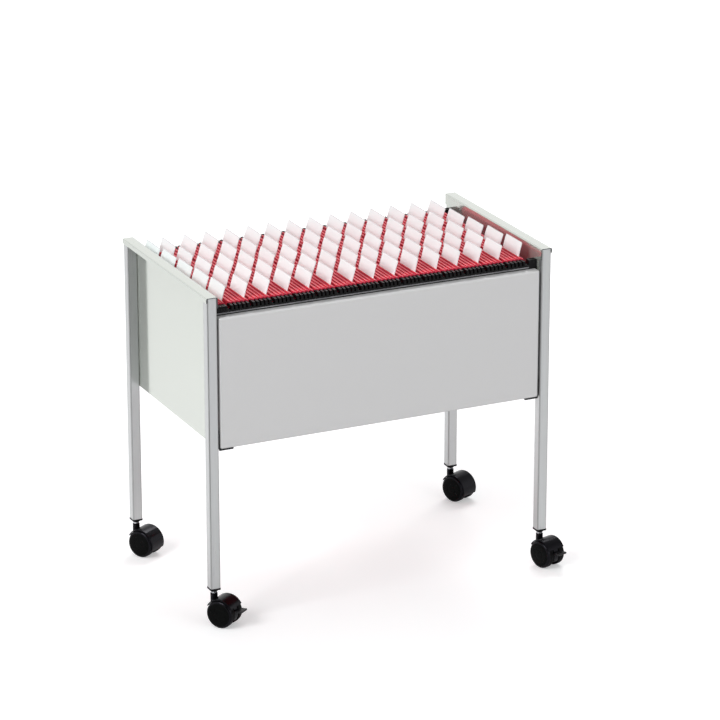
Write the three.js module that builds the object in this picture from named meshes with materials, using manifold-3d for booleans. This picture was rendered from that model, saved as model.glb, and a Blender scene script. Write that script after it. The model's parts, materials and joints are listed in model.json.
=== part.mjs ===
// Mobile file cart: two end frames on twin-wheel casters carry an open bin of hanging files.
// Millimetres, +X along the row of files, +Y from the front panel to the rear panel, +Z up.
import * as THREE from 'three';
import { RoundedBoxGeometry } from 'three/addons/geometries/RoundedBoxGeometry.js';
import { mergeVertices } from 'three/addons/utils/BufferGeometryUtils.js';
import Module from 'manifold-3d';

const wasm = await Module();
wasm.setup();

// Frame, measured over the legs
const frameWidth = 648;
const frameDepth = 370;
const frameTop = 589;
const legSize = 18;
const legWall = 1.5;
const legCorner = 2;
const legInnerCorner = 1;

// Sheet metal and the gaps left between pieces
const sheet = 1.2;
const foldGap = 0.25;
const touchGap = 0.1;

// End panels: a web inside the legs, folded over the leg tops and down outside as a lip
const panelDrop = 271;
const lipDrop = 9;
const lapDrop = 20;
const webSetback = 6;
const foldRadius = 2;

// Front and rear panels: shallow trays that stand flush with the leg faces
const trayTopDrop = 38;
const traySideGap = 0.55;
const trayDepth = 15;
const trayBend = 3;

// Corner brackets that carry the trays on the end panels
const bracketSheet = 1.5;
const bracketReach = 27;
const bracketHeight = 34;
const bracketInset = 3;
const bracketDepth = 22;

// File rails behind the trays, and the end blocks that hold them
const railWeb = 5;
const beadLip = 0.5;
const railRise = 9;
const railHeight = 26;
const blockLength = 16;
const blockDepth = 12;
const blockRise = 7;
const keeperGap = 1.4;
const keeperHeight = 14;

// Bundles of hanging files; those of the first bundle are pushed together at the left end panel
const bundleCount = 15;
const filesPerBundle = 5;
const filePitch = 7.1;
const wallPitch = 4.7;
const leftClearance = 1.25;
const rightClearance = 23.1;
const fileEndGap = 7;
const barWidth = 2;
const barRise = 9;
const shoulderDrop = 20;
const cardDrop = 226;
const footNotch = 10;
const hookWidth = 1.6;
const hookRise = 7;
const hookNose = 2;
const hookDrop = 3.5;
const hookRoot = 5;
const hookGap = 1;
const tabMargin = 7.4;
const tabGap = 4;
const tabSheet = 1;
const tabRise = 24;
const tabLean = 19;
const tabRoot = 4;

// Casters, each described with its stem on the local Z axis and its trail along local +X
const turnFrontLeft = -54;
const turnRearLeft = -58;
const turnFrontRight = -74;
const turnRearRight = -66;
const casterTrail = 20.5;
const wheelRadius = 25.2;
const wheelWidth = 13.4;
const wheelGap = 0.3;
const wheelEdge = 2;
const wheelDome = 0.6;
const wheelSkin = 3;
const axleRadius = 3;
const runningGap = 0.4;
const hoodGap = 0.7;
const hoodSheet = 1.6;
const hoodWidth = 36;
const hoodRear = 30;
const hoodFront = 152;
const webGap = 1.6;
const hubRadius = 9;
const neckRadius = 6.3;
const neckFoot = 15.8;
const neckRise = 30.8;
const stemRadius = 4;
const stemDepth = 11;
const ringLip = 0.5;
const ringHeight = 3.3;
const shaftRadius = 5;
const shaftLength = 35;

// Inserts that close the legs and take the caster stems
const flangeLip = 0.5;
const flangeThick = 2;
const collarWall = 2.2;
const collarHeight = 3.8;
const plugFit = 0.2;
const plugCap = 2.9;

// Brake pedals on the two front casters
const pedalPivot = 18.5;
const pedalPivotAngle = 20;
const knuckleRadius = 3.4;
const carrierWall = 2;
const carrierSweep = 30;
const armThick = 3.4;
const armWidth = 8;
const armRise = 5;
const sweepMargin = 1;
const treadGap = 2.7;
const treadLap = 1;
const pedalLength = 11;
const pedalWidth = 20;
const pedalThick = 3.6;
const pedalTravel = 15;

// Smoothness of the round pieces
const roundSteps = 20;
const arcSteps = 10;
const bendSteps = 3;

// How far a cut runs past the face it opens
const overrun = 1;

const insideX = frameWidth / 2 - legSize - foldGap - sheet;
const panelBottom = frameTop - panelDrop;
const trayTop = frameTop - trayTopDrop;
const railTop = trayTop + railRise;
const railFront = frameDepth / 2 - trayDepth - touchGap;
const railMiddle = railFront - railWeb / 2;
const railBead = railWeb / 2 + beadLip;
const barTop = railTop + barRise;
const cardHalf = railMiddle - railBead - fileEndGap;
const wheelInset = neckRadius + wheelGap;
const hoodWeb = 2 * (wheelInset - webGap);
const neckTop = wheelRadius + neckRise;
const collarBottom = neckTop + ringHeight + 2 * runningGap;
const flangeBottom = collarBottom + collarHeight;
const legBottom = flangeBottom + flangeThick + touchGap;
const shaftTop = collarBottom + shaftLength;
const rad = THREE.MathUtils.degToRad;

const root = new THREE.Group();
root.name = 'mobile_file_cart';

// Each sub-part is one named mesh with a material of its own
function addPiece(parent, name, geometry, color, roughness, metalness) {
  const material = new THREE.MeshStandardMaterial({ color, roughness, metalness });
  const mesh = new THREE.Mesh(geometry, material);
  mesh.name = name;
  parent.add(mesh);
  return mesh;
}

function toSolid(geometry) {
  const bare = geometry.clone();
  bare.deleteAttribute('normal');
  bare.deleteAttribute('uv');
  const merged = mergeVertices(bare, 1e-4);
  return new wasm.Manifold(new wasm.Mesh({
    numProp: 3,
    vertProperties: new Float32Array(merged.attributes.position.array),
    triVerts: new Uint32Array(merged.index.array),
  }));
}

function toGeometry(solid) {
  const mesh = solid.getMesh();
  const geometry = new THREE.BufferGeometry();
  geometry.setAttribute('position', new THREE.BufferAttribute(new Float32Array(mesh.vertProperties), 3));
  geometry.setIndex(new THREE.BufferAttribute(new Uint32Array(mesh.triVerts), 1));
  geometry.computeVertexNormals();
  return geometry;
}

function joined(geometries) {
  return toGeometry(geometries.map(toSolid).reduce((sum, next) => sum.add(next)));
}

function cut(geometry, tools) {
  return toGeometry(tools.map(toSolid).reduce((rest, tool) => rest.subtract(tool), toSolid(geometry)));
}

// A box given by the two limits it reaches on each axis
function span(x0, x1, y0, y1, z0, z1) {
  const box = new THREE.BoxGeometry(Math.abs(x1 - x0), Math.abs(y1 - y0), Math.abs(z1 - z0));
  return box.translate((x0 + x1) / 2, (y0 + y1) / 2, (z0 + z1) / 2);
}

// A round bar standing on local Z
function upright(radius, z0, z1) {
  const bar = new THREE.CylinderGeometry(radius, radius, z1 - z0, roundSteps);
  return bar.rotateX(Math.PI / 2).translate(0, 0, (z0 + z1) / 2);
}

function drawn(shape, depth, curveSegments) {
  return new THREE.ExtrudeGeometry(shape, { depth, bevelEnabled: false, curveSegments });
}

// A drawn outline with its first axis along X and its second along Z, drawn out along Y about the middle
function alongY(shape, width) {
  return drawn(shape, width, arcSteps).translate(0, 0, -width / 2).rotateX(Math.PI / 2);
}

// A drawn outline with its first axis along Y and its second along Z, drawn out along X about the middle
function alongX(shape, width) {
  return alongY(shape, width).rotateZ(Math.PI / 2);
}

// A drawn outline on the floor plan, drawn up between two heights
function standing(shape, z0, z1) {
  return drawn(shape, z1 - z0, bendSteps).translate(0, 0, z0);
}

function outline(points) {
  return new THREE.Shape(points.map(([a, b]) => new THREE.Vector2(a, b)));
}

// A square outline with rounded corners
function roundedSquare(side, corner) {
  const half = side / 2;
  const straight = half - corner;
  const shape = new THREE.Shape();
  shape.moveTo(-straight, -half);
  shape.lineTo(straight, -half);
  shape.absarc(straight, -straight, corner, -Math.PI / 2, 0);
  shape.lineTo(half, straight);
  shape.absarc(straight, straight, corner, 0, Math.PI / 2);
  shape.lineTo(-straight, half);
  shape.absarc(-straight, straight, corner, Math.PI / 2, Math.PI);
  shape.lineTo(-half, -straight);
  shape.absarc(-straight, -straight, corner, Math.PI, Math.PI * 1.5);
  return shape;
}

const silver = 0xb9bcc0;
const panelGrey = 0xc6c8c8;
const palePanel = 0xcfd5ce;
const black = 0x101112;
const steel = 0xc9cbcd;
const fileRed = 0xc81f32;

const sides = [['left', -1], ['right', 1]];
const faces = [['front', -1], ['rear', 1]];

// Legs: square tubes standing under the folded tops of the end panels
const legTop = frameTop - sheet - foldGap;
for (const [side, sx] of sides) {
  for (const [face, sy] of faces) {
    const wall = roundedSquare(legSize, legCorner);
    wall.holes.push(roundedSquare(legSize - 2 * legWall, legInnerCorner));
    const tube = standing(wall, legBottom, legTop);
    tube.translate(sx * (frameWidth - legSize) / 2, sy * (frameDepth - legSize) / 2, 0);
    addPiece(root, `leg_${face}_${side}`, tube, silver, 0.34, 0.75);
  }
}

// End panels: one folded sheet each, drawn here for the right side and mirrored for the left
for (const [side, sx] of sides) {
  const outerX = frameWidth / 2 + foldGap + sheet;
  const fold = new THREE.Shape();
  fold.moveTo(insideX, frameTop - lapDrop);
  fold.lineTo(insideX + sheet, frameTop - lapDrop);
  fold.lineTo(insideX + sheet, frameTop - sheet);
  fold.lineTo(outerX - sheet, frameTop - sheet);
  fold.lineTo(outerX - sheet, frameTop - lipDrop);
  fold.lineTo(outerX, frameTop - lipDrop);
  fold.lineTo(outerX, frameTop - foldRadius);
  fold.absarc(outerX - foldRadius, frameTop - foldRadius, foldRadius, 0, Math.PI / 2);
  fold.lineTo(insideX + foldRadius, frameTop);
  fold.absarc(insideX + foldRadius, frameTop - foldRadius, foldRadius, Math.PI / 2, Math.PI);
  const web = frameDepth / 2 - webSetback;
  const panel = joined([
    alongY(fold, frameDepth),
    span(insideX, insideX + sheet, -web, web, panelBottom, frameTop - lapDrop / 2),
  ]);
  const placed = sx > 0 ? panel : panel.rotateZ(Math.PI);
  addPiece(root, `end_panel_${side}`, placed, palePanel, 0.12, 0.1);
}

// Front and rear panels: the sheet is bent back on all four edges
const trayHalf = insideX - touchGap - bracketSheet - traySideGap;
for (const [face, sy] of faces) {
  const height = trayTop - panelBottom;
  const block = new RoundedBoxGeometry(2 * trayHalf, 2 * trayDepth, height, bendSteps, trayBend);
  const hollow = trayHalf - sheet;
  const inner = height / 2 - sheet;
  const tray = cut(block, [
    span(-hollow, hollow, sheet - trayDepth, trayDepth, -inner, inner),
    span(-trayHalf - sheet, trayHalf + sheet, 0, trayDepth + sheet, -height, height),
  ]);
  tray.translate(0, trayDepth - frameDepth / 2, (trayTop + panelBottom) / 2);
  addPiece(root, `panel_${face}`, sy < 0 ? tray : tray.rotateZ(Math.PI), panelGrey, 0.42, 0.35);
}

// Corner brackets: an upright leaf on the end panel and a shelf under the tray
for (const [side, sx] of sides) {
  for (const [face, sy] of faces) {
    const leaf = insideX - touchGap;
    const front = frameDepth / 2 - bracketInset;
    const shelfTop = panelBottom - touchGap;
    const shelfBottom = shelfTop - bracketSheet;
    const bracket = joined([
      span(sx * (leaf - bracketSheet), sx * leaf, sy * (front - bracketDepth), sy * front,
        shelfBottom, shelfBottom + bracketHeight),
      span(sx * (leaf - bracketReach), sx * leaf, sy * (front - bracketDepth), sy * front,
        shelfBottom, shelfTop),
    ]);
    addPiece(root, `bracket_${face}_${side}`, bracket, black, 0.55, 0.2);
  }
}

// File rails: a web behind each tray with a round bead along its top
const railLeft = touchGap - insideX;
const railRight = insideX - blockLength - 2 * touchGap;
for (const [face, sy] of faces) {
  const rail = new THREE.Shape();
  const beadCentre = railTop - railBead;
  const neck = railBead * Math.sin(Math.acos(railWeb / 2 / railBead));
  const start = Math.atan2(-neck, railWeb / 2);
  const y0 = sy * railMiddle;
  rail.moveTo(y0 - railWeb / 2, railTop - railHeight);
  rail.lineTo(y0 + railWeb / 2, railTop - railHeight);
  rail.lineTo(y0 + railWeb / 2, beadCentre - neck);
  rail.absarc(y0, beadCentre, railBead, start, Math.PI - start);
  const bar = alongX(rail, railRight - railLeft).translate((railLeft + railRight) / 2, 0, 0);
  addPiece(root, `file_rail_${face}`, bar, black, 0.3, 0);
}

// Rail blocks: the left ones stand behind the rails, the right ones end the rails and stop the hooks
for (const [face, sy] of faces) {
  const wall = insideX - touchGap;
  const foot = railTop - railHeight;
  const keeperBack = railMiddle - railWeb / 2 - touchGap;
  const keeper = span(-wall, blockLength - wall, sy * (cardHalf + keeperGap), sy * keeperBack,
    foot, foot + keeperHeight);
  addPiece(root, `rail_block_${face}_left`, keeper, black, 0.4, 0);
  const stop = span(wall - blockLength, wall, sy * (railFront - blockDepth), sy * railFront,
    foot, railTop + blockRise);
  addPiece(root, `rail_block_${face}_right`, stop, black, 0.4, 0);
}

// One bundle: folded files side by side, drawn with the foremost file at x = 0
function bundleGeometry(pitch) {
  const half = pitch / 2;
  const bar = barWidth / 2;
  const cardShoulder = barTop - shoulderDrop;
  const cardFoot = barTop - cardDrop;
  const section = [];
  for (let file = 0; file < filesPerBundle; file += 1) {
    const x = -file * pitch;
    section.push([x + half, cardShoulder], [x + bar, barTop], [x - bar, barTop]);
  }
  const last = -(filesPerBundle - 1) * pitch - bar;
  section.push([last, cardFoot + footNotch]);
  for (let file = filesPerBundle - 1; file >= 0; file -= 1) {
    const x = -file * pitch;
    section.push([x, cardFoot], [x + half, cardFoot + footNotch]);
  }
  const parts = [alongY(outline(section), 2 * cardHalf)];
  const tabPitch = 2 * (cardHalf - tabMargin) / filesPerBundle;
  for (let file = 0; file < filesPerBundle; file += 1) {
    const x = -file * pitch;
    for (const [, sy] of faces) {
      parts.push(hookGeometry(sy).translate(x, 0, 0));
    }
    const y = (file - (filesPerBundle - 1) / 2) * tabPitch;
    parts.push(tabGeometry(tabPitch - tabGap).translate(x, y, 0));
  }
  return joined(parts);
}

// A hook reaches from the end of the bar over the bead of the rail
function hookGeometry(sy) {
  const seat = railTop + touchGap;
  const beadOut = railMiddle + railBead + hookGap;
  const shape = outline([
    [cardHalf - hookRoot, seat + hookRise],
    [cardHalf - hookRoot, seat],
    [beadOut, seat],
    [beadOut, seat - hookDrop],
    [beadOut + hookNose, seat - hookDrop],
    [beadOut + hookNose, seat + hookRise - hookNose],
    [beadOut, seat + hookRise],
  ]);
  const hook = alongX(shape, hookWidth);
  return sy > 0 ? hook : hook.rotateZ(Math.PI);
}

// A tab stands on the bar and leans towards +X
function tabGeometry(width) {
  const foot = barTop - tabRoot;
  const length = (tabRise + tabRoot) / Math.cos(rad(tabLean)) - tabSheet * Math.tan(rad(tabLean)) / 2;
  const plate = span(-tabSheet / 2, tabSheet / 2, -width / 2, width / 2, 0, length);
  return plate.rotateY(rad(tabLean)).translate(0, 0, foot);
}

// The bundles stand evenly between the left end panel and the hand space at the right one
const wallBundle = bundleGeometry(wallPitch);
const oneBundle = bundleGeometry(filePitch);
const firstBundle = (filesPerBundle - 1) * wallPitch + barWidth / 2 - insideX + leftClearance;
const lastBundle = insideX - rightClearance - filePitch / 2;
const bundlePeriod = (lastBundle - firstBundle) / (bundleCount - 1);
for (let index = 0; index < bundleCount; index += 1) {
  const bundle = (index === 0 ? wallBundle : oneBundle).clone();
  bundle.translate(firstBundle + index * bundlePeriod, 0, 0);
  addPiece(root, `file_bundle_${String(index + 1).padStart(2, '0')}`, bundle, fileRed, 0.6, 0);
}

// Leg inserts: a plug inside the tube, a flange under it and a collar for the stem
for (const [side, sx] of sides) {
  for (const [face, sy] of faces) {
    const plug = legSize - 2 * legWall - 2 * plugFit;
    const flange = legSize / 2 + flangeLip;
    const middle = flangeBottom + flangeThick / 2;
    const bore = shaftRadius + runningGap;
    const body = joined([
      span(-flange, flange, -flange, flange, flangeBottom, flangeBottom + flangeThick),
      upright(shaftRadius + collarWall, collarBottom, middle),
      standing(roundedSquare(plug, legCorner), middle, shaftTop + plugCap),
    ]);
    const insert = cut(body, [upright(bore, collarBottom - overrun, shaftTop + runningGap)]);
    insert.translate(sx * (frameWidth - legSize) / 2, sy * (frameDepth - legSize) / 2, 0);
    addPiece(root, `leg_insert_${face}_${side}`, insert, black, 0.5, 0);
  }
}

// The point where a brake pedal turns, measured from the axle
const pivotX = pedalPivot * Math.cos(rad(pedalPivotAngle));
const pivotZ = pedalPivot * Math.sin(rad(pedalPivotAngle));

// A slice of a disc between two angles
function sector(radius, from, to) {
  const slice = new THREE.Shape();
  slice.moveTo(0, 0);
  slice.lineTo(radius * Math.cos(rad(from)), radius * Math.sin(rad(from)));
  slice.absarc(0, 0, radius, rad(from), rad(to), false);
  return slice;
}

// A housing: the hood over both wheels, the web between them, the axle hub and the neck for the stem
function casterHousing(withPedal) {
  const inner = wheelRadius + hoodGap;
  const outer = inner + hoodSheet;
  const arch = new THREE.Shape();
  arch.absarc(0, 0, outer, rad(hoodRear), rad(hoodFront), false);
  arch.absarc(0, 0, inner, rad(hoodFront), rad(hoodRear), true);
  const web = sector(inner + hoodSheet / 2, hoodRear, hoodFront);
  const hub = new THREE.Shape();
  hub.absarc(0, 0, hubRadius, 0, 2 * Math.PI, false);
  const parts = [
    alongY(arch, hoodWidth),
    alongY(web, hoodWeb),
    alongY(hub, 2 * (wheelInset - runningGap)),
    upright(neckRadius, neckFoot, neckRise).translate(-casterTrail, 0, 0),
  ];
  const bore = new THREE.Shape();
  bore.absarc(0, 0, axleRadius + runningGap, 0, 2 * Math.PI, false);
  const tools = [
    alongY(bore, 2 * hoodWidth),
    upright(stemRadius + runningGap, neckRise - stemDepth - runningGap, neckRise + overrun)
      .translate(-casterTrail, 0, 0),
  ];
  if (withPedal) {
    const carrier = sector(pedalPivot + knuckleRadius + carrierWall, -carrierSweep, hoodRear + sweepMargin);
    parts.push(alongY(carrier, hoodWeb));
    const socket = new THREE.Shape();
    socket.absarc(pivotX, pivotZ, knuckleRadius + runningGap, 0, 2 * Math.PI, false);
    tools.push(alongY(socket, 2 * hoodWeb), alongY(armSweep(), 2 * hoodWeb));
  }
  return cut(joined(parts), tools).translate(casterTrail, 0, wheelRadius);
}

// The room the pedal arm needs between its raised and its pressed place
function armSweep() {
  const side = armThick / 2 + runningGap;
  const reach = 2 * (knuckleRadius + carrierWall) + overrun;
  const corner = (angle, along, across) => [
    pivotX + along * Math.cos(rad(angle)) - across * Math.sin(rad(angle)),
    pivotZ + along * Math.sin(rad(angle)) + across * Math.cos(rad(angle)),
  ];
  const raised = armRise + sweepMargin;
  const pressed = armRise - pedalTravel - sweepMargin;
  return outline([
    corner(raised, 0, side),
    corner(pressed, 0, -side),
    corner(pressed, reach, -side),
    corner(raised, reach, side),
  ]);
}

// A pedal has a round knuckle on its pivot, an arm between the wheels and a tread behind them
function pedalGeometry() {
  const armReach = wheelRadius + treadGap + treadLap - pivotX;
  const knuckle = new THREE.Shape();
  knuckle.absarc(0, 0, knuckleRadius, 0, 2 * Math.PI, false);
  const arm = span(0, armReach, -armWidth / 2, armWidth / 2, -armThick / 2, armThick / 2);
  const tread = span(armReach - treadLap, armReach + pedalLength, -pedalWidth / 2, pedalWidth / 2,
    -pedalThick / 2, pedalThick / 2);
  const pedal = joined([alongY(knuckle, armWidth), arm, tread]).rotateY(-rad(armRise));
  return pedal.translate(casterTrail + pivotX, 0, wheelRadius + pivotZ);
}

// A wheel has a blind bore open towards the housing, a slightly domed outer face and one flat down
function wheelGeometry() {
  const bore = axleRadius + runningGap;
  const profile = [
    [0, wheelWidth - wheelSkin],
    [bore, wheelWidth - wheelSkin],
    [bore, 0],
    [wheelRadius - wheelEdge, 0],
    [wheelRadius, wheelEdge],
    [wheelRadius, wheelWidth - 2 * wheelEdge],
    [wheelRadius - wheelEdge / 2, wheelWidth - wheelEdge / 2],
    [wheelRadius - 2 * wheelEdge, wheelWidth],
    [0, wheelWidth + wheelDome],
  ];
  const points = profile.map(([r, h]) => new THREE.Vector2(r, h));
  return new THREE.LatheGeometry(points, roundSteps, Math.PI / roundSteps);
}

// A stem: pressed into the neck below its ring, and turning in the leg insert above it
function stemGeometry() {
  const ringBottom = neckTop + runningGap;
  const profile = [
    [0, neckTop - stemDepth],
    [stemRadius, neckTop - stemDepth],
    [stemRadius, ringBottom],
    [shaftRadius + ringLip, ringBottom],
    [shaftRadius + ringLip, ringBottom + ringHeight],
    [shaftRadius, ringBottom + ringHeight],
    [shaftRadius, shaftTop],
    [0, shaftTop],
  ];
  const points = profile.map(([r, z]) => new THREE.Vector2(r, z));
  return new THREE.LatheGeometry(points, roundSteps).rotateX(Math.PI / 2);
}

const turns = {
  front_left: turnFrontLeft,
  rear_left: turnRearLeft,
  front_right: turnFrontRight,
  rear_right: turnRearRight,
};
for (const [side, sx] of sides) {
  for (const [face, sy] of faces) {
    const place = `${face}_${side}`;
    const withPedal = face === 'front';
    const caster = new THREE.Group();
    caster.name = `caster_${place}`;
    caster.position.set(sx * (frameWidth - legSize) / 2, sy * (frameDepth - legSize) / 2, 0);
    caster.rotation.z = rad(turns[place]);
    root.add(caster);
    addPiece(caster, `caster_stem_${place}`, stemGeometry(), steel, 0.2, 1);
    addPiece(caster, `caster_housing_${place}`, casterHousing(withPedal), black, 0.22, 0);
    const axleHalf = wheelInset + wheelWidth - wheelSkin - runningGap;
    const axle = new THREE.CylinderGeometry(axleRadius, axleRadius, 2 * axleHalf, roundSteps);
    addPiece(caster, `caster_axle_${place}`, axle.translate(casterTrail, 0, wheelRadius),
      steel, 0.3, 1);
    for (const [hand, sign] of sides) {
      const wheel = wheelGeometry().translate(0, wheelInset, 0);
      const turned = sign > 0 ? wheel.rotateX(Math.PI) : wheel;
      addPiece(caster, `caster_wheel_${hand}_${place}`, turned.translate(casterTrail, 0, wheelRadius),
        black, 0.25, 0);
    }
    if (withPedal) {
      addPiece(caster, `brake_pedal_${place}`, pedalGeometry(), black, 0.35, 0);
    }
  }
}

// The origin goes to the floor under the middle of the whole cart
root.updateMatrixWorld(true);
const bounds = new THREE.Box3().setFromObject(root, true);
root.position.set(-(bounds.min.x + bounds.max.x) / 2, -(bounds.min.y + bounds.max.y) / 2, -bounds.min.z);
root.updateMatrixWorld(true);

export default root;
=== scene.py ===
import json
import math
import random

import bmesh
import bpy
from mathutils import Matrix, Vector


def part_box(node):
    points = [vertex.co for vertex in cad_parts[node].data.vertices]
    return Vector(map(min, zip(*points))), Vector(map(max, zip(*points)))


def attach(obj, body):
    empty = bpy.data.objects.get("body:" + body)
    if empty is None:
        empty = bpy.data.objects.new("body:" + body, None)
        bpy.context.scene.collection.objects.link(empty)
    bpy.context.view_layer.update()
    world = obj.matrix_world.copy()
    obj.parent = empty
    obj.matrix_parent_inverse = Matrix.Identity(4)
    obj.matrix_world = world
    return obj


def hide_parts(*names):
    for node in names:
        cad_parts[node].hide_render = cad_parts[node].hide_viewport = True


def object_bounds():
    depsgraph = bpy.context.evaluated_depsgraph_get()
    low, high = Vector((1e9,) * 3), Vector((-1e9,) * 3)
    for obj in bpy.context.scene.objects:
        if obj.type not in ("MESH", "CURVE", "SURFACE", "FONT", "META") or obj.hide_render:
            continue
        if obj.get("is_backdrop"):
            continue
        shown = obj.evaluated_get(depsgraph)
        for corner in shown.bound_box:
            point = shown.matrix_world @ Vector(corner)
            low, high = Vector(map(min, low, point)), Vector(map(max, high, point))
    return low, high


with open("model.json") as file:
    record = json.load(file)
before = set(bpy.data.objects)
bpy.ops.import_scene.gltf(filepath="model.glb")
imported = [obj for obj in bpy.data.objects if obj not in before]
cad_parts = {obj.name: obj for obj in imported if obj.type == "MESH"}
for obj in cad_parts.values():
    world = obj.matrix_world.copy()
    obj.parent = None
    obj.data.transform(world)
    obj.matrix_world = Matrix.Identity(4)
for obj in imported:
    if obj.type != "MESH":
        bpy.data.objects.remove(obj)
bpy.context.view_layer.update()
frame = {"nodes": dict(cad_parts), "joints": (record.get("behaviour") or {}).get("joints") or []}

# Legs
# Four square steel tubes with rolled corners, sawn off square and sprayed silver grey.
# They stand at the cart's corners, and everything else is fixed to them.
places = ("front_left", "rear_left", "front_right", "rear_right")
leg_wall = 0.0015
leg_round = 0.0022
leg_silver = (204, 206, 206)
leg_shade = (198, 200, 201)
# a darker grey painted on the tubes' rounded corners as shade
leg_corner_shade = (170, 171, 171)
crease_angle = math.radians(40)


class Shade:
    """A socket in a node tree. Arithmetic on it adds Math nodes."""

    def __init__(self, tree, socket=None):
        self.tree = tree
        self.socket = socket

    def add(self, kind, settings=None, sockets=None, output=0):
        """A node of that kind: its settings first, then the values or links of its sockets."""
        node = self.tree.nodes.new(kind)
        for key, value in (settings or {}).items():
            setattr(node, key, value)
        for key, value in (sockets or {}).items():
            if isinstance(value, Shade):
                self.tree.links.new(value.socket, node.inputs[key])
            else:
                node.inputs[key].default_value = value
        return Shade(self.tree, node.outputs[output])

    def math(self, operation, first, second):
        return self.add("ShaderNodeMath", {"operation": operation}, {0: first, 1: second})

    def __add__(self, other):
        return self.math("ADD", self, other)

    def __mul__(self, other):
        return self.math("MULTIPLY", self, other)

    def __sub__(self, other):
        return self.math("SUBTRACT", self, other)

    def __rsub__(self, other):
        return self.math("SUBTRACT", other, self)

    __radd__ = __add__
    __rmul__ = __mul__

    def rise(self, start, end):
        """0 up to start and 1 from end on, with a smooth rise between."""
        return self.add("ShaderNodeMapRange", {"interpolation_type": "SMOOTHSTEP"},
                        {0: self, 1: start, 2: end})

    def tint(self, low, high):
        """One colour where this is 0, going over to another where it is 1."""
        return self.add("ShaderNodeMix", {"data_type": "RGBA"}, {0: self, 6: low, 7: high}, 2)

    def place(self):
        """Where a point lies on its piece, in metres."""
        return self.add("ShaderNodeTexCoord", output="Object")

    def noise(self, x, y, z, detail=2.0):
        """Cloudy noise with that many clouds to the metre along each axis."""
        spread = self.add("ShaderNodeMapping", None,
                          {"Vector": self.place(), "Scale": (x, y, z)})
        return self.add("ShaderNodeTexNoise", None,
                        {"Vector": spread, "Scale": 1.0, "Detail": detail})

    def height(self):
        """Height over the floor, in metres."""
        return self.add("ShaderNodeSeparateXYZ", None, {0: self.place()}, 2)

    def feed(self, name, value, target="Principled BSDF"):
        """Links a value to a socket of the material's or the room's shader."""
        self.tree.links.new(value.socket, self.tree.nodes[target].inputs[name])

    def relief(self, height, depth):
        """Bumps of that depth in metres."""
        bumps = self.add("ShaderNodeBump", None, {"Distance": depth, "Height": height})
        self.feed("Normal", bumps)


def colour(red, green, blue):
    """A colour as the eye reads it, each part up to 255, in the shader's linear values."""
    return (*(((part / 255 + 0.055) / 1.055) ** 2.4 for part in (red, green, blue)), 1.0)


def new_finish(name, fixed):
    """A material with its even values set, and a Shade for the values that change over it."""
    finish = bpy.data.materials.new(name)
    finish.use_nodes = True
    for socket, value in fixed.items():
        finish.node_tree.nodes["Principled BSDF"].inputs[socket].default_value = value
    return finish, Shade(finish.node_tree)


def add_block(bm, low, high):
    """A box between two corners."""
    low, high = Vector(low), Vector(high)
    verts = bmesh.ops.create_cube(bm, size=1.0)["verts"]
    bmesh.ops.scale(bm, vec=high - low, verts=verts)
    bmesh.ops.translate(bm, vec=(low + high) / 2, verts=verts)
    bm.normal_update()


def round_edges(bm, edges, radius, segments):
    """Bevels edges to a round of that radius."""
    bmesh.ops.bevel(bm, geom=edges, offset=radius, offset_type="OFFSET", segments=segments,
                    profile=0.5, affect="EDGES", material=-1, clamp_overlap=True)
    bm.normal_update()


def runs_along(edge, axis):
    """True for an edge that runs along axis 0, 1 or 2."""
    run = edge.verts[1].co - edge.verts[0].co
    return abs(run[axis]) > 0.999 * run.length


def make_piece(bm, name, finishes, body, slot, *nodes):
    """A bmesh as a piece that rides on a body and stands for the nodes named."""
    mesh = bpy.data.meshes.new(name)
    bm.to_mesh(mesh)
    bm.free()
    mesh.shade_smooth()
    mesh.set_sharp_from_angle(angle=crease_angle)
    for finish in finishes:
        mesh.materials.append(finish)
    piece = bpy.data.objects.new(name, mesh)
    bpy.context.scene.collection.objects.link(piece)
    even = piece.modifiers.new("even_flats", "WEIGHTED_NORMAL")
    even.keep_sharp = True
    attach(piece, body)
    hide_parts(*nodes)


def silver_finish(name, light, dark):
    """Metallic silver lacquer with faint drawing lines up the tube and scuffs near the floor."""
    finish, shade = new_finish(name, {"Metallic": 0.8, "Coat Weight": 0.1,
                                      "Coat Roughness": 0.2})
    drawn = shade.noise(420, 420, 5, 3)
    low_down = 1 - shade.height().rise(0.08, 0.22)
    scuffed = shade.noise(160, 160, 60, 4).rise(0.62, 0.74) * low_down
    shade.feed("Base Color", (drawn.rise(0.3, 0.7) * 0.6 + scuffed * 0.9)
               .tint(colour(*light), colour(*dark)))
    shade.feed("Roughness", 0.24 + drawn * 0.12 + scuffed * 0.15)
    shade.relief(shade.noise(900, 900, 900, 3), 0.00001)
    return finish


silver_lacquer = silver_finish("silver_lacquer", leg_silver, leg_shade)
silver_corner_shade = silver_finish("silver_corner_shade", leg_corner_shade, leg_corner_shade)

for place in places:
    bm = bmesh.new()
    add_block(bm, *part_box("leg_" + place))
    ends = [face for face in bm.faces if abs(face.normal.z) > 0.5]
    bmesh.ops.delete(bm, geom=ends, context="FACES_ONLY")
    round_edges(bm, [edge for edge in bm.edges if runs_along(edge, 2)], leg_round, 5)
    bmesh.ops.solidify(bm, geom=bm.faces[:], thickness=leg_wall)
    bm.normal_update()
    # the rounded corner faces take the painted shade
    for face in bm.faces:
        if max(abs(part) for part in face.normal) < 0.999:
            face.material_index = 1
    make_piece(bm, "tube_leg_" + place, [silver_lacquer, silver_corner_shade], "cart", "leg_silver",
               "leg_" + place)

# End panels
# One lacquered steel sheet at each end: a web inside the legs, folded out over their tops and
# down again as a short lip. The sheared ends of the fold show as dark edges on the leg tops.
sheet = 0.0012
lip_drop = 0.009
lap_drop = 0.020
web_setback = 0.006
panel_fold = 0.0024
panel_pale = (217, 221, 214)
panel_cool = (212, 217, 210)
sheared_grey = (96, 98, 102)
sheared_dark = (58, 59, 63)

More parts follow.
